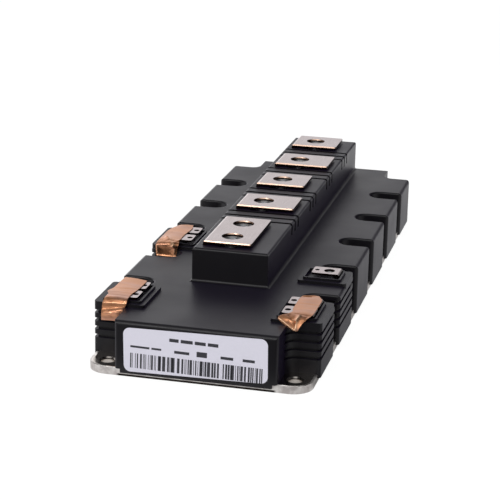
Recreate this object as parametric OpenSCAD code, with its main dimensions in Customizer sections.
// Half-bridge power semiconductor module: a copper base plate under a ribbed
// plastic housing, with bolted power terminals along a raised spine, small
// auxiliary straps on pads beside it, and the power stack inside.
// The base plate lies on Z = 0, X is the width and Y the length. The label is
// on the end at -Y, the auxiliary straps are near both long sides.

/* [Overall] */
// Length of the module
module_l = 250; // [240:1:260]
// Width of the module
module_w = 89; // [86:0.5:94]
// Distance of the end rows of mounting holes from the module's ends
mount_end = 8; // [7.5:0.1:8.5]
// Distance of the rows of mounting holes from the module's long sides
mount_side = 8; // [7.5:0.1:8.5]

/* [Base plate] */
// Thickness of the base plate
base_t = 3; // [2.5:0.25:4]
// How far the plate's long edges stand inside the housing's walls
plate_side_inset = 1.1; // [0.8:0.1:1.2]
// How far the plate's ends stand inside the housing's walls
plate_end_inset = 0.8; // [0.4:0.1:1.2]
// Corner radius of the base plate
base_corner_r = 8; // [6:0.5:10]
// Height of the plate's edge that stays bare below the housing
ledge_t = 1.3; // [0.8:0.1:1.6]
// Diameter of the mounting holes
mount_d = 5.5; // [4.5:0.1:6.5]
// Width of the chamfer round each mounting hole
mount_chamfer = 0.5; // [0.2:0.1:0.8]

/* [Housing] */
// Height of the deck above the base plate's underside
deck_z = 22.1; // [20.5:0.1:24]
// Thickness of the housing's walls
wall_t = 2.6; // [2:0.1:3.2]
// Thickness of the deck
roof_t = 2.5; // [2:0.1:3]
// Thickness of the skirt that overlaps the plate's edge
skirt_t = 1.4; // [1.2:0.1:1.8]
// Distance of the end blocks' sides from the rows of screw holes
tongue_clear = 5.1; // [4.8:0.1:6]
// How far the skirt is narrower than the module's ends on each side
skirt_inset = 2.2; // [1.5:0.1:3]
// Width of the screw notches
notch_w = 10.5; // [9.5:0.1:11.5]
// How far the notches' round ends are centred inside the screw holes
notch_inset = 0.95; // [0.5:0.05:1.5]
// Distance from the corner screws to the faces of the end blocks
corner_clear = 7.5; // [7:0.1:8.5]
// Radius of the upright inner corners beside the corner screws
nook_r = 4.4; // [3:0.1:5]
// Radius of the upright outer corners of the blocks
block_corner_r = 1.4; // [0.8:0.1:2]
// Radius of the rounded top edge of the outer walls
top_edge_r = 1.6; // [1:0.1:2]
// Radius of the rounded top edge of the notches
notch_edge_r = 0.8; // [0.4:0.1:1.2]

/* [Creepage ribs] */
// Number of grooves in a ribbed block
rib_count = 4; // [3:1:5]
// Spacing of the grooves
rib_pitch = 3.3; // [3:0.1:3.6]
// Height of a groove
rib_groove_h = 1.4; // [1:0.1:1.8]
// Depth of a groove
rib_groove_d = 1; // [0.6:0.1:1.3]
// Depth of the first groove's middle below the deck
rib_drop = 2.9; // [2.5:0.1:3.5]

/* [Spine] */
// Left face of the spine
spine_x0 = -16; // [-17:0.5:-15.5]
// Right face of the spine
spine_x1 = 15; // [14:0.5:16]
// Distance of the spine's front face from the module's front end
spine_front = 53; // [51:0.5:55]
// Distance of the spine's rear face from the module's rear end
spine_end = 3; // [2.5:0.5:5]
// Height of the spine's top
spine_z = 36.1; // [35:0.1:36.5]
// Radius of the spine's top edges
spine_edge_r = 1; // [0.5:0.1:1.5]
// Radius of the fillet along the spine's foot
spine_foot_r = 1.2; // [0.6:0.1:1.6]
// Width of a cross groove between two terminals
cross_w = 2; // [1.4:0.1:2.4]
// Depth of a cross groove
cross_d = 1.6; // [1:0.1:2]
// How far the cross grooves run down the spine's right face
cross_drop = 5; // [3:0.5:7]

/* [Power terminals] */
// Height of the terminals' contact face
term_z = 38; // [37.8:0.1:38.6]
// Thickness of the terminal plates
term_t = 1.2; // [1:0.1:1.4]
// Width position of the row of power screws
bolt_x = -3; // [-3.5:0.1:-2]
// Diameter of the holes for the power screws
bolt_d = 8.8; // [8.2:0.1:9.2]
// Distance of the output terminal from the spine's front face
ac_margin = 5; // [4:0.1:6]
// Length of the output terminal
ac_l = 36; // [34:0.5:37]
// Spacing of the output terminal's two holes
ac_bolt_pitch = 18.6; // [18:0.1:20]
// Distance of the last input terminal from the spine's rear face
dc_margin = 3.2; // [2.5:0.1:4]
// Length of an input terminal
dc_l = 18.8; // [17:0.1:19.5]
// Left edge of all terminal plates
term_x0 = -13; // [-13.4:0.1:-12.6]
// Right edge of the output terminal
ac_x1 = 6.8; // [6:0.1:8]
// Right edge of the positive input terminals
plus_x1 = 12; // [11:0.1:12.5]
// Right edge of the negative input terminals
minus_x1 = 8.8; // [8:0.1:10]
// Radius of the terminal plates' corners
term_corner_r = 0.8; // [0.4:0.1:1.5]
// Width across flats of the power nuts
nut_af = 13; // [12.5:0.1:13]
// Height of the power nuts
nut_h = 6.5; // [5.5:0.1:6.8]
// Thread hole of the power nuts
nut_bore_d = 6.8; // [6.4:0.1:7]
// Width of the recess in front of a power nut
window_w = 8; // [7:0.5:10]
// Depth of the recess in front of a power nut
window_d = 1; // [0.6:0.1:1.4]
// How far the recess reaches out from under its terminal
window_reach = 1; // [0.6:0.1:1.6]

/* [Auxiliary terminals] */
// Height of the straps' contact face
strap_z = 25.2; // [25:0.1:25.6]
// Thickness of a strap
strap_t = 0.8; // [0.6:0.1:1]
// Distance of the front strap from the front face of its block
strap_front = 2.9; // [2.6:0.1:3.2]
// Distance of the rear strap from the rear face of its block
strap_rear = 4.15; // [4:0.05:4.4]
// Free space between the two straps on a double pad
strap_space = 2.8; // [2.6:0.1:3.2]
// Width of a pad, from the housing's long side inwards
pad_w = 19.9; // [19.5:0.1:20.3]
// Distance of a strap's inner end from its pad's inner edge
strap_inset = 4.7; // [4.4:0.1:5]
// Corner radius of a strap's inner end
strap_corner_r = 1; // [0.6:0.1:1.5]
// Screw hole of a strap
strap_hole_d = 4.4; // [4.2:0.1:4.6]
// Distance of the screw hole from the strap's inner end
strap_hole_in = 6.7; // [6.5:0.1:6.9]
// Diameter of the test hole near a strap's inner end
test_hole_d = 1.9; // [1.5:0.1:2.2]
// Distance of the test hole from the strap's inner end
test_hole_in = 1.7; // [1.5:0.1:1.9]
// Distance of the single strap's middle from the rear face of its block
single_back = 7.75; // [7.5:0.05:8.2]
// Distance of the single pad's front edge from the strap's middle
single_front = 9.4; // [9:0.1:10]
// Distance of the middle pad's front edge from its straps
mid_front = 4; // [3.4:0.1:4.4]
// Distance of the middle pad's rear edge from its straps
mid_rear = 2.6; // [2.6:0.1:4]
// Height of the pads above the deck
pad_h = 1.2; // [0.8:0.1:1.6]
// How far the straps' rims stand inside the pads
rim_inset = 1.8; // [1.4:0.1:2.2]
// How far the rims stand inside the housing's long sides
rim_side = 2.7; // [2.5:0.1:2.8]
// Height of the rims above the pads
rim_h = 0.9; // [0.6:0.1:1.1]
// Thickness of the rims
rim_t = 0.8; // [0.6:0.1:0.8]
// Width across flats of the auxiliary nuts
small_nut_af = 7; // [6.8:0.1:7]
// Height of the auxiliary nuts
small_nut_h = 3.2; // [2.8:0.1:3.2]
// Thread hole of the auxiliary nuts
small_nut_bore_d = 3.3; // [3.2:0.1:3.4]

/* [Foils and label] */
// Thickness of the copper shorting foils
foil_t = 0.2; // [0.1:0.05:0.3]
// Width of a shorting foil
foil_w = 8.8; // [8:0.1:9]
// Distance of the foils' inner edge from the straps' inner ends
foil_in = 2.3; // [2.1:0.1:2.5]
// How far the foils reach past the rear edge of their straps
foil_tail = 1.6; // [0.5:0.1:2]
// Gap between a foil's flap and the block below it
flap_gap = 1; // [0.9:0.1:1.4]
// Hanging length of the near left foil's flap
left_hang = 9; // [8:0.5:10]
// How far that flap leans outwards
left_lean = 3; // [2:0.5:4]
// Width of that flap's lower edge
left_tip_w = 5.4; // [4:0.2:7]
// Hanging length of the near right foil's flap
right_hang = 4.8; // [4:0.2:6]
// How far that flap leans inwards
right_lean = 0.6; // [0:0.2:1]
// Width of that flap's lower edge
right_tip_w = 0.8; // [0.4:0.2:2]
// Hanging length of the middle left foil's flap
mid_hang = 6.4; // [5.5:0.2:7]
// How far that flap leans outwards
mid_lean = 1.3; // [1.2:0.1:1.6]
// Width of that flap's lower edge
mid_tip_w = 8.2; // [7.6:0.2:8.2]
// Width of the label
label_w = 55.4; // [54:0.2:57]
// Height of the label
label_h = 17.4; // [16.5:0.1:17.6]
// Height of the label's middle above the base plate's underside
label_z = 11.6; // [11:0.1:11.8]
// Thickness of the label
label_t = 0.15; // [0.1:0.05:0.3]
// Corner radius of the label
label_r = 2.6; // [1.5:0.1:3.5]
// Tilt of the label on its wall, in degrees
label_tilt = 1; // [0:0.1:1.4]

/* [Power stack] */
// Distance of the ceramic tiles from the housing's inner walls
tile_margin = 3.8; // [3:0.1:4.5]
// Free space between two ceramic tiles
tile_space = 6; // [4:0.5:8]
// Thickness of the ceramic
tile_t = 0.4; // [0.3:0.1:0.6]
// Thickness of the copper on each side of the ceramic
copper_t = 0.3; // [0.2:0.1:0.4]
// Gap between copper tracks
track_gap = 1; // [0.8:0.1:1.4]
// Edge length of a transistor chip
igbt_s = 12; // [11:0.1:12.4]
// Edge length of a diode chip
diode_s = 8; // [7:0.1:8.4]
// Thickness of the chips
chip_t = 0.2; // [0.15:0.05:0.3]
// Span of a bond wire
wire_span = 4; // [3.6:0.1:4.2]
// Diameter of a bond wire
wire_d = 0.4; // [0.3:0.05:0.5]
// Bond wires from each transistor chip
wire_count = 5; // [3:1:6]
// Thickness of the busbars
bus_t = 1.2; // [1:0.1:1.5]
// Free space between two busbars
bus_gap = 1.6; // [1.2:0.1:1.8]
// How far the busbars reach past the middles of the end tiles
bus_over = 6; // [5:0.5:8]
// Width of a busbar's foot
foot_w = 2.4; // [2:0.1:3]
// Length of a busbar's foot
foot_l = 5; // [4:0.5:6]
// Distance of the output busbar's right edge from the middle of the module
foot_x = 3; // [2.5:0.1:3.5]
// Spacing of the three rows of feet
foot_pitch = 4; // [3.6:0.1:4.4]
// Length of the temperature sensor
sensor_l = 3.2; // [2:0.1:4]
// Width of the temperature sensor
sensor_w = 1.6; // [1.2:0.1:2]
// Height of the temperature sensor
sensor_h = 1; // [0.6:0.1:1.4]
// Height of the silicone gel above the base plate
gel_h = 4.6; // [4.2:0.1:5]

/* [Hidden] */
$fn = 48;
eps = 0.01;
over = 2;       // how far a cut runs past the face that it opens
far = 2 * module_l;    // reach of a cut or profile that runs past the whole module

// Colours
c_nickel = [0.80, 0.78, 0.75];
c_black = [0.20, 0.20, 0.22];
c_terminal = [0.78, 0.75, 0.75];
c_foil = [0.85, 0.58, 0.42];
c_label = [0.82, 0.81, 0.86];
c_steel = [0.70, 0.70, 0.72];
c_ceramic = [0.92, 0.92, 0.88];
c_copper = [0.80, 0.48, 0.32];
c_chip = [0.42, 0.44, 0.50];
c_wire = [0.85, 0.85, 0.88];
c_gel = [0.85, 0.90, 0.95, 0.35];

// Clearances
press_gap = 0.15;   // housing skirt to base plate
slot_gap = 0.3;     // terminal leg to its slot
nut_gap = 0.2;      // nut to its pocket
leg_gap = 0.3;      // strap's leg to the nut beside it
lift_gap = 0.1;     // nut to the terminal above it
gel_gap = 0.3;      // gel to metal pieces
bus_clear = 1;      // lowest busbar to the gel
track_edge = 1;     // copper to the ceramic's edge
leg_in = 0.6;       // busbars' left edge to the terminals' legs
foot_in = 1.6;      // strap's foot to the ceramic's edge
chip_edge = 4.4;    // transistors to the inner tracks' ends

// Screw holes and blocks along the length
mount_rows = 7;
mount_pitch = (module_l - 2 * mount_end) / (mount_rows - 1);
mount_span = module_w - 2 * mount_side;
row_y = [for (k = [0 : mount_rows - 1]) (k - (mount_rows - 1) / 2) * mount_pitch];
blocks = mount_rows - 1;
function block_y0(i) = i == 0 ? row_y[0] + corner_clear : row_y[i] + notch_w / 2;
function block_y1(i) = i == blocks - 1 ? row_y[blocks] - corner_clear : row_y[i + 1] - notch_w / 2;
function block_mid(i) = (row_y[i] + row_y[i + 1]) / 2;

// Base plate
plate_w = module_w - 2 * plate_side_inset;
plate_l = module_l - 2 * plate_end_inset;

// Housing
tongue_w = mount_span - 2 * tongue_clear;
skirt_w = tongue_w - 2 * skirt_inset;
notch_x = mount_span / 2 - notch_inset;
corner_face_y = row_y[blocks] - corner_clear;
cave_z = deck_z - roof_t;
ribbed = [[1, 0], [1, 1], [-1, 0], [-1, 2]];    // side and block of each ribbed block

// Auxiliary straps: side and middle of each
strap_w = (block_y1(0) - block_y0(0) - strap_front - strap_rear - strap_space) / 2;
strap_pitch = strap_w + strap_space;
double_mid = [block_y0(0) + strap_front + strap_w + strap_space / 2, block_mid(2)];
single_y = block_y1(1) - single_back;
straps = [
    [-1, double_mid[0] - strap_pitch / 2], [-1, double_mid[0] + strap_pitch / 2],
    [1, double_mid[0] - strap_pitch / 2], [1, double_mid[0] + strap_pitch / 2],
    [-1, double_mid[1] - strap_pitch / 2], [-1, double_mid[1] + strap_pitch / 2],
    [1, single_y]];
pair_l = 2 * strap_w + strap_space;
pad_x0 = module_w / 2 - pad_w;
strap_x0 = pad_x0 + strap_inset;
strap_hole_x = strap_x0 + strap_hole_in;
test_hole_x = strap_x0 + test_hole_in;
strap_x1 = strap_hole_x + small_nut_af / 2 + leg_gap + strap_t;
small_nut_top_z = strap_z - strap_t - lift_gap;
small_nut_floor_z = small_nut_top_z - small_nut_h;

// Pads: side, front edge and rear edge
pads = [
    [-1, block_y0(0), block_y1(0) - rim_inset],
    [1, block_y0(0), block_y1(0) - rim_inset],
    [-1, double_mid[1] - pair_l / 2 - mid_front, double_mid[1] + pair_l / 2 + mid_rear],
    [1, single_y - single_front, block_y1(1) - rim_inset / 2]];
pad_z = deck_z + pad_h;
rim_z = pad_z + rim_h;
rim_floor_z = deck_z + pad_h / 2;

// Power terminals
spine_y0 = -module_l / 2 + spine_front;
spine_y1 = module_l / 2 - spine_end;
ac_y = spine_y0 + ac_margin + ac_l / 2;
term_gap = (spine_y1 - dc_margin - 4 * dc_l - ac_y - ac_l / 2) / 4;
dc_mid = [for (k = [0 : 3]) ac_y + ac_l / 2 + term_gap + dc_l / 2 + k * (dc_l + term_gap)];
gaps_y = [for (k = [0 : 3]) dc_mid[k] - dc_l / 2 - term_gap / 2];
cross_pitch = term_gap / 3;
plate_under_z = term_z - term_t;
nut_top_z = plate_under_z - lift_gap;
nut_floor_z = nut_top_z - nut_h;
boss_z = nut_floor_z - wall_t;
ac_bolts = [ac_y - ac_bolt_pitch / 2, ac_y + ac_bolt_pitch / 2];
bolt_ys = concat(ac_bolts, dc_mid);

// Middle, length and right edge of each terminal plate, with its screw holes
terminals = [
    [ac_y, ac_l, ac_x1, ac_bolts],
    [dc_mid[0], dc_l, plus_x1, [dc_mid[0]]],
    [dc_mid[1], dc_l, minus_x1, [dc_mid[1]]],
    [dc_mid[2], dc_l, plus_x1, [dc_mid[2]]],
    [dc_mid[3], dc_l, minus_x1, [dc_mid[3]]]];

// Power stack
tile_w = tongue_w - 2 * wall_t - 2 * tile_margin;
tile_l = mount_pitch - tile_space;
strap_foot_x = tile_w / 2 - foot_in;
strip_w = foot_in + 2 * track_edge;
back_z = base_t;
ceramic_z = back_z + copper_t;
track_z = ceramic_z + tile_t;
chip_z = track_z + copper_t;
wire_z = chip_z + chip_t;
chip_row = tile_l / 4;
track_x = tile_w / 2 - track_edge - strip_w - track_gap;
igbt_x = -track_x + chip_edge + igbt_s / 2;
diode_x = igbt_x + igbt_s / 2 + wire_span / 2 + diode_s / 2;
gel_top_z = base_t + gel_h;
bus_ac_z = gel_top_z + bus_clear;
bus_minus_z = bus_ac_z + bus_t + bus_gap;
bus_plus_z = bus_minus_z + bus_t + bus_gap;
bus_l = 2 * (block_mid(blocks - 1) + bus_over);
bus_x0 = term_x0 - leg_in;
foot_x1 = [for (k = [0 : 2]) foot_x + k * foot_pitch];    // right edges of the three busbars
strap_run_z = bus_ac_z + bus_clear;

// A rectangle with round corners
module round_rect(x0, x1, y0, y1, r) {
    translate([x0 + r, y0]) square([x1 - x0 - 2 * r, y1 - y0]);
    translate([x0, y0 + r]) square([x1 - x0, y1 - y0 - 2 * r]);
    for (x = [x0 + r, x1 - r], y = [y0 + r, y1 - r]) translate([x, y]) circle(r);
}

// A block between two corners
module block(x0, x1, y0, y1, z0, z1) {
    translate([x0, y0, z0]) cube([x1 - x0, y1 - y0, z1 - z0]);
}

// Turns a profile drawn in X and Z into a bar along Y
module along_y(y0, y1) {
    translate([0, y1, 0]) rotate([90, 0, 0]) linear_extrude(y1 - y0) children();
}

// Turns a profile drawn in Y and Z into a bar along X
module along_x(x0, x1) {
    translate([x0, 0, 0]) rotate([90, 0, 90]) linear_extrude(x1 - x0) children();
}

// ---------------------------------------------------------------- base plate

// Where the housing's skirt runs down over the plate's edge
module skirt_zone(grow) {
    for (s = [-1, 1], i = [0 : blocks - 1])
        translate([s > 0 ? module_w / 2 - skirt_t - grow : -module_w / 2 - over, block_y0(i) - grow])
            square([skirt_t + grow + over, block_y1(i) - block_y0(i) + 2 * grow]);
    for (s = [-1, 1])
        translate([-skirt_w / 2 - grow, s > 0 ? module_l / 2 - skirt_t - grow : -module_l / 2 - over])
            square([skirt_w + 2 * grow, skirt_t + grow + over]);
}

module plate_plan() {
    round_rect(-plate_w / 2, plate_w / 2, -plate_l / 2, plate_l / 2, base_corner_r);
}

module base_plate() {
    color(c_nickel)
    difference() {
        union() {
            linear_extrude(ledge_t) plate_plan();
            linear_extrude(base_t) difference() {
                plate_plan();
                skirt_zone(press_gap);
            }
        }
        for (x = [-1, 1] * mount_span / 2, y = row_y) translate([x, y, 0]) {
            translate([0, 0, -over]) cylinder(d = mount_d, h = base_t + 2 * over);
            translate([0, 0, base_t - mount_chamfer])
                cylinder(d1 = mount_d, d2 = mount_d + 2 * (mount_chamfer + eps), h = mount_chamfer + eps);
        }
    }
}

// ------------------------------------------------------------------- housing

// Outline of the housing, drawn in by inset on every side
module house_plan(inset) {
    nook_x = tongue_w / 2 + nook_r;
    nook_y = corner_face_y + nook_r;
    difference() {
        union() {
            round_rect(-tongue_w / 2 + inset, tongue_w / 2 - inset,
                -module_l / 2 + inset, module_l / 2 - inset, block_corner_r);
            translate([-notch_x, -corner_face_y + inset])
                square([2 * notch_x, 2 * (corner_face_y - inset)]);
            for (i = [0 : blocks - 1])
                round_rect(-module_w / 2 + inset, module_w / 2 - inset,
                    block_y0(i) + inset, block_y1(i) - inset, block_corner_r);
            for (sx = [-1, 1], sy = [-1, 1]) scale_sign(sx, sy)
                translate([tongue_w / 2 - inset, corner_face_y - inset])
                    square(nook_r + inset - eps);
        }
        for (s = [-1, 1], k = [1 : blocks - 1])
            translate([s * notch_x, row_y[k]]) circle(notch_w / 2 + inset);
        for (sx = [-1, 1], sy = [-1, 1])
            translate([sx * nook_x, sy * nook_y]) circle(nook_r + inset);
    }
}

// Mirrors a plane shape into the quarter given by the two signs
module scale_sign(sx, sy) {
    mirror([sx < 0 ? 1 : 0, 0]) mirror([0, sy < 0 ? 1 : 0]) children();
}

// Profile of a wall pair with rounded top edges
module capped_profile(half, top, r) {
    translate([-half, 0]) square([2 * half, top - r]);
    translate([-half + r, 0]) square([2 * half - 2 * r, top]);
    for (s = [-1, 1]) translate([s * (half - r), top - r]) circle(r);
}

module house_solid() {
    intersection() {
        linear_extrude(deck_z) house_plan(0);
        along_y(-far / 2, far / 2) capped_profile(module_w / 2, deck_z, top_edge_r);
        along_x(-far / 2, far / 2) capped_profile(module_l / 2, deck_z, top_edge_r);
    }
}

// Rounds the deck's edge along one notch that opens towards +X
module notch_edge() {
    r = notch_w / 2;
    rotate_extrude() notch_edge_profile(r);
    along_x(0, far) for (s = [0, 1]) mirror([s, 0]) notch_edge_profile(r);
}

module notch_edge_profile(r) {
    difference() {
        translate([r - eps, deck_z - notch_edge_r]) square([notch_edge_r + eps, notch_edge_r + over]);
        translate([r + notch_edge_r, deck_z - notch_edge_r]) circle(notch_edge_r);
    }
}

// Grooves that wrap a block's outer wall and the notches or the nook beside it
module rib_grooves(side, i) {
    y0 = i == 0 ? block_y0(0) - nook_r : row_y[i];
    x0 = tongue_w / 2 - rib_groove_d;
    for (k = [0 : rib_count - 1])
        translate([0, 0, deck_z - rib_drop - k * rib_pitch - rib_groove_h / 2])
            linear_extrude(rib_groove_h) intersection() {
                difference() {
                    translate([-far / 2, -far / 2]) square(far);
                    house_plan(rib_groove_d);
                }
                translate([side > 0 ? x0 : -far / 2, y0]) square([far / 2 - x0, row_y[i + 1] - y0]);
            }
}

// One raised pad with the rim that holds its straps
module pad(side, y0, y1) {
    x1 = module_w / 2;
    mirror([side < 0 ? 1 : 0, 0, 0]) translate([0, 0, cave_z]) {
        linear_extrude(pad_z - cave_z) round_rect(pad_x0, x1, y0, y1, block_corner_r);
        linear_extrude(rim_z - cave_z)
            round_rect(pad_x0 + rim_inset, x1 - rim_side, y0 + rim_inset, y1 - rim_inset, block_corner_r);
    }
}

// Recess of a pad, inside its rim
module pad_recess(side, y0, y1) {
    wall = rim_inset + rim_t;
    mirror([side < 0 ? 1 : 0, 0, 0])
        block(pad_x0 + wall, module_w / 2 - rim_side - rim_t, y0 + wall, y1 - wall, rim_floor_z, rim_z + over);
}

// Profile of the raised spine with round top edges and a fillet at its foot
module ridge_profile(a, b) {
    r = spine_edge_r;
    f = spine_foot_r;
    translate([a, cave_z]) square([b - a, spine_z - r - cave_z]);
    translate([a + r, cave_z]) square([b - a - 2 * r, spine_z - cave_z]);
    for (u = [a + r, b - r]) translate([u, spine_z - r]) circle(r);
    difference() {
        translate([a - f, cave_z]) square([b - a + 2 * f, deck_z + f - cave_z]);
        for (u = [a - f, b + f]) translate([u, deck_z + f]) circle(f);
    }
}

module spine() {
    intersection() {
        along_y(-far / 2, far / 2) ridge_profile(spine_x0, spine_x1);
        along_x(-far / 2, far / 2) ridge_profile(spine_y0, spine_y1);
        translate([0, 0, cave_z])
            linear_extrude(spine_z)
                round_rect(-tongue_w / 2, tongue_w / 2, -far / 2, module_l / 2 - top_edge_r, spine_edge_r);
    }
}

// Grooves across the spine's top that also run down its right face
module cross_grooves() {
    for (g = gaps_y, k = [-1, 0, 1]) {
        y = g + k * cross_pitch;
        block(spine_x0 - over, spine_x1 + over, y - cross_w / 2, y + cross_w / 2,
            spine_z - cross_d, spine_z + over);
        block(spine_x1 - cross_d, spine_x1 + over, y - cross_w / 2, y + cross_w / 2,
            spine_z - cross_drop, spine_z + over);
    }
}

// Recesses through which each terminal's first nut shows under the plate's front edge
module nut_windows() {
    for (t = terminals)
        block(bolt_x - window_w / 2, bolt_x + window_w / 2,
            t[0] - t[1] / 2 - window_reach, t[3][0], spine_z - window_d, spine_z + over);
}

// Six-sided pocket or nut
module hexagon(af, h) {
    cylinder(r = af / 2 / cos(30), h = h, $fn = 6);
}

module cavity() {
    z1 = cave_z;
    x1 = tongue_w / 2 - wall_t;
    block(-x1, x1, -module_l / 2 + wall_t, module_l / 2 - wall_t, 0, z1);
    for (i = [0 : blocks - 1])
        block(-module_w / 2 + wall_t, module_w / 2 - wall_t,
            block_y0(i) + wall_t, block_y1(i) - wall_t, 0, z1);
    for (s = straps) mirror([s[0] < 0 ? 1 : 0, 0, 0])
        block(x1 - over, strap_x1 + slot_gap,
            s[1] - strap_w / 2 - slot_gap, s[1] + strap_w / 2 + slot_gap, 0, z1);
    block(spine_x0 + wall_t, spine_x1 - wall_t, spine_y0 + wall_t, spine_y1 - wall_t, 0, boss_z);
}

module terminal_slots() {
    for (t = terminals)
        block(term_x0 - slot_gap, term_x0 + term_t + slot_gap,
            t[0] - t[1] / 2 - slot_gap, t[0] + t[1] / 2 + slot_gap, boss_z - over, spine_z + over);
}

module strap_slots() {
    for (s = straps) mirror([s[0] < 0 ? 1 : 0, 0, 0])
        block(strap_x1 - strap_t - slot_gap, strap_x1 + slot_gap,
            s[1] - strap_w / 2 - slot_gap, s[1] + strap_w / 2 + slot_gap, cave_z - over, rim_z + over);
}

module housing() {
    color(c_black)
    difference() {
        union() {
            difference() {
                house_solid();
                for (s = [-1, 1], k = [1 : blocks - 1])
                    mirror([s < 0 ? 1 : 0, 0, 0]) translate([notch_x, row_y[k], 0]) notch_edge();
            }
            for (p = pads) pad(p[0], p[1], p[2]);
            spine();
        }
        for (r = ribbed) rib_grooves(r[0], r[1]);
        for (p = pads) pad_recess(p[0], p[1], p[2]);
        cavity();
        cross_grooves();
        nut_windows();
        terminal_slots();
        strap_slots();
        for (y = bolt_ys) translate([bolt_x, y, nut_floor_z])
            rotate(30) hexagon(nut_af + 2 * nut_gap, far);
        for (s = straps) translate([s[0] * strap_hole_x, s[1], small_nut_floor_z])
            rotate(30) hexagon(small_nut_af + 2 * nut_gap, far);
        // Everything below the plate's top goes, apart from the skirt
        translate([0, 0, -eps]) linear_extrude(ledge_t + press_gap + eps) square(far, center = true);
        linear_extrude(base_t) difference() {
            square(far, center = true);
            skirt_zone(0);
        }
    }
}

// ----------------------------------------------------------- power terminals

// A plate on top of the spine, with a leg bent down to its busbar
module terminal(t, bus_z) {
    y0 = t[0] - t[1] / 2;
    y1 = t[0] + t[1] / 2;
    r = term_corner_r;
    color(c_terminal)
    difference() {
        union() {
            translate([0, 0, plate_under_z]) linear_extrude(term_t) {
                round_rect(term_x0 + term_t, t[2], y0, y1, r);
                translate([term_x0 + term_t, y0]) square([2 * r, y1 - y0]);
            }
            along_y(y0, y1) {
                translate([term_x0 + term_t, plate_under_z]) intersection() {
                    circle(term_t);
                    translate([-term_t, 0]) square(term_t + eps);
                }
                translate([term_x0, bus_z + bus_t]) square([term_t, plate_under_z - bus_z - bus_t + eps]);
            }
        }
        for (y = t[3]) translate([bolt_x, y, plate_under_z - over])
            cylinder(d = bolt_d, h = term_t + 2 * over);
    }
}

module nut(af, h, bore) {
    difference() {
        rotate(30) hexagon(af, h);
        translate([0, 0, -over]) cylinder(d = bore, h = h + 2 * over);
    }
}

module power_nuts() {
    color(c_steel) for (y = bolt_ys)
        translate([bolt_x, y, nut_floor_z]) nut(nut_af, nut_h, nut_bore_d);
}

// ------------------------------------------------------- auxiliary terminals

// A strap with its contact face on the pad and its legs down to the tracks
module strap(s) {
    t = strap_t;
    under = strap_z - t;
    color(c_terminal)
    mirror([s[0] < 0 ? 1 : 0, 0, 0]) translate([0, s[1], 0])
    difference() {
        union() {
            translate([0, 0, under]) linear_extrude(t) {
                round_rect(strap_x0, strap_x1 - t, -strap_w / 2, strap_w / 2, strap_corner_r);
                translate([strap_x1 - t - 2 * strap_corner_r, -strap_w / 2]) square([2 * strap_corner_r, strap_w]);
            }
            along_y(-strap_w / 2, strap_w / 2) {
                translate([strap_x1 - t, under]) intersection() {
                    circle(t);
                    translate([-eps, 0]) square(t + eps);
                }
                translate([strap_x1 - t, strap_run_z]) square([t, under - strap_run_z + eps]);
                translate([strap_foot_x - t, strap_run_z]) square([strap_x1 - strap_foot_x + t, t]);
                translate([strap_foot_x - t, chip_z]) square([t, strap_run_z + t - chip_z]);
            }
        }
        translate([strap_hole_x, 0, under - over]) cylinder(d = strap_hole_d, h = t + 2 * over);
        translate([test_hole_x, 0, under - over]) cylinder(d = test_hole_d, h = t + 2 * over);
    }
}

module aux_nuts() {
    color(c_steel) for (s = straps)
        translate([s[0] * strap_hole_x, s[1], small_nut_floor_z])
            nut(small_nut_af, small_nut_h, small_nut_bore_d);
}

// ----------------------------------------------------------- foils and label

// A copper foil over two straps, with a flap that hangs off their front edge
module foil(side, mid, face_y, hang, lean, tip_w) {
    y1 = mid + pair_l / 2 + foil_tail;
    y0 = face_y - flap_gap;
    top_z = strap_z + foil_t;
    tip = foil_w / 2 + lean;
    color(c_foil)
    mirror([side < 0 ? 1 : 0, 0, 0]) translate([strap_x0 + foil_in, 0, 0]) {
        block(0, foil_w, y0, y1, strap_z, top_z);
        along_y(y0 - foil_t, y0)
            polygon([[foil_w, top_z], [0, top_z],
                [tip - tip_w / 2, strap_z - hang], [tip + tip_w / 2, strap_z - hang]]);
    }
}

module label() {
    color(c_label)
    translate([0, -module_l / 2, label_z])
        rotate([90, -label_tilt, 0])
            linear_extrude(label_t)
                round_rect(-label_w / 2, label_w / 2, -label_h / 2, label_h / 2, label_r);
}

// --------------------------------------------------------------- power stack

// Copper islands on one tile: two wide tracks and a strip on each side
module track_plan() {
    x = tile_w / 2 - track_edge;
    y = tile_l / 2 - track_edge;
    for (s = [-1, 1]) {
        scale_sign(s, 1) translate([x - strip_w, -y]) square([strip_w, 2 * y]);
        scale_sign(1, s) translate([-track_x, track_gap / 2]) square([2 * track_x, y - track_gap / 2]);
    }
}

module ceramic(i) {
    color(c_ceramic) translate([0, block_mid(i), ceramic_z])
        linear_extrude(tile_t) square([tile_w, tile_l], center = true);
}

module tracks(i) {
    color(c_copper) translate([0, block_mid(i), track_z]) linear_extrude(copper_t) track_plan();
}

module back_copper() {
    color(c_copper) for (i = [0 : blocks - 1]) translate([0, block_mid(i), back_z])
        linear_extrude(copper_t) square([tile_w - 2 * track_edge, tile_l - 2 * track_edge], center = true);
}

module chips(x, s) {
    color(c_chip) for (i = [0 : blocks - 1], k = [-1, 1])
        translate([x - s / 2, block_mid(i) + k * chip_row - s / 2, chip_z]) cube([s, s, chip_t]);
}

// Wires that arch from each transistor chip to the diode chip beside it
module bond_wires() {
    x = (igbt_x + igbt_s / 2 + diode_x - diode_s / 2) / 2;
    color(c_wire) for (i = [0 : blocks - 1], k = [-1, 1], j = [0 : wire_count - 1])
        translate([x, block_mid(i) + k * chip_row + (j - (wire_count - 1) / 2) * diode_s / (wire_count + 1), wire_z])
            rotate([90, 0, 0])
                rotate_extrude(angle = 180, $fn = 24)
                    translate([wire_span / 2, 0]) circle(d = wire_d, $fn = 16);
}

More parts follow.
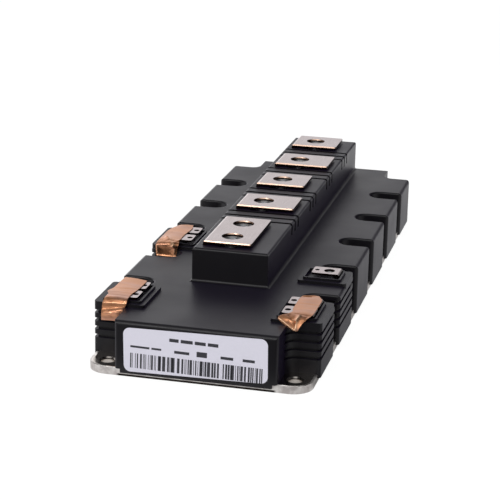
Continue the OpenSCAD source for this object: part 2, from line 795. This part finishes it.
// A busbar with a foot to each tile; legs of the bars above pass its left edge
module busbar(z, x1, feet_y, passing) {
    color(c_copper)
    difference() {
        union() {
            block(bus_x0, x1, -bus_l / 2, bus_l / 2, z, z + bus_t);
            for (i = [0 : blocks - 1]) {
                y = block_mid(i) + feet_y;
                block(x1 - foot_w, x1, y - foot_l / 2, y + foot_l / 2, chip_z, z + eps);
            }
        }
        for (t = passing)
            block(bus_x0 - over, term_x0 + term_t + bus_gap,
                t[0] - t[1] / 2 - bus_gap, t[0] + t[1] / 2 + bus_gap, z - over, z + bus_t + over);
    }
}

module thermistor() {
    color("dimgray")
    translate([(diode_x + diode_s / 2 + track_x) / 2, block_mid(0) - chip_row, chip_z])
        linear_extrude(sensor_h) square([sensor_l, sensor_w], center = true);
}

// Soft filling over the tiles, kept clear of the metal that stands in it
module gel() {
    x1 = tongue_w / 2 - wall_t - gel_gap;
    y1 = module_l / 2 - wall_t - gel_gap;
    color(c_gel)
    difference() {
        block(-x1, x1, -y1, y1, base_t, gel_top_z);
        for (i = [0 : blocks - 1])
            translate([0, block_mid(i), base_t - eps])
                linear_extrude(wire_z + wire_span / 2 + wire_d - base_t + gel_gap)
                    square([tile_w + 2 * gel_gap, tile_l + 2 * gel_gap], center = true);
        for (i = [0 : blocks - 1])
            block(foot_x1[0] - foot_w - gel_gap, foot_x1[2] + gel_gap,
                block_mid(i) - tile_l / 2, block_mid(i) + tile_l / 2, base_t - eps, gel_top_z + over);
        for (s = straps) mirror([s[0] < 0 ? 1 : 0, 0, 0])
            block(strap_foot_x - strap_t - gel_gap, strap_foot_x + gel_gap,
                s[1] - strap_w / 2 - gel_gap, s[1] + strap_w / 2 + gel_gap, base_t - eps, gel_top_z + over);
    }
}

// -------------------------------------------------------------------- drawing

base_plate();
housing();
terminal(terminals[0], bus_ac_z);  // ac_terminal
terminal(terminals[1], bus_plus_z);  // dc_terminal_1
terminal(terminals[2], bus_minus_z);  // dc_terminal_2
terminal(terminals[3], bus_plus_z);  // dc_terminal_3
terminal(terminals[4], bus_minus_z);  // dc_terminal_4
power_nuts();
strap(straps[0]);  // aux_strap_1
strap(straps[1]);  // aux_strap_2
strap(straps[2]);  // aux_strap_3
strap(straps[3]);  // aux_strap_4
strap(straps[4]);  // aux_strap_5
strap(straps[5]);  // aux_strap_6
strap(straps[6]);  // aux_strap_7
aux_nuts();
foil(-1, double_mid[0], block_y0(0), left_hang, left_lean, left_tip_w);  // foil_near_left
foil(1, double_mid[0], block_y0(0), right_hang, -right_lean, right_tip_w);  // foil_near_right
foil(-1, double_mid[1], block_y0(2), mid_hang, mid_lean, mid_tip_w);  // foil_mid_left
label();
ceramic(0);  // ceramic_1
ceramic(1);  // ceramic_2
ceramic(2);  // ceramic_3
ceramic(3);  // ceramic_4
ceramic(4);  // ceramic_5
ceramic(5);  // ceramic_6
tracks(0);  // tracks_1
tracks(1);  // tracks_2
tracks(2);  // tracks_3
tracks(3);  // tracks_4
tracks(4);  // tracks_5
tracks(5);  // tracks_6
back_copper();
chips(igbt_x, igbt_s);  // igbt_chips
chips(diode_x, diode_s);  // diode_chips
bond_wires();
busbar(bus_plus_z, foot_x1[2], 0, [terminals[0], terminals[2], terminals[4]]);  // busbar_plus
busbar(bus_minus_z, foot_x1[1], 0, [terminals[0]]);  // busbar_minus
busbar(bus_ac_z, foot_x1[0], 0, []);  // busbar_ac
thermistor();
gel();
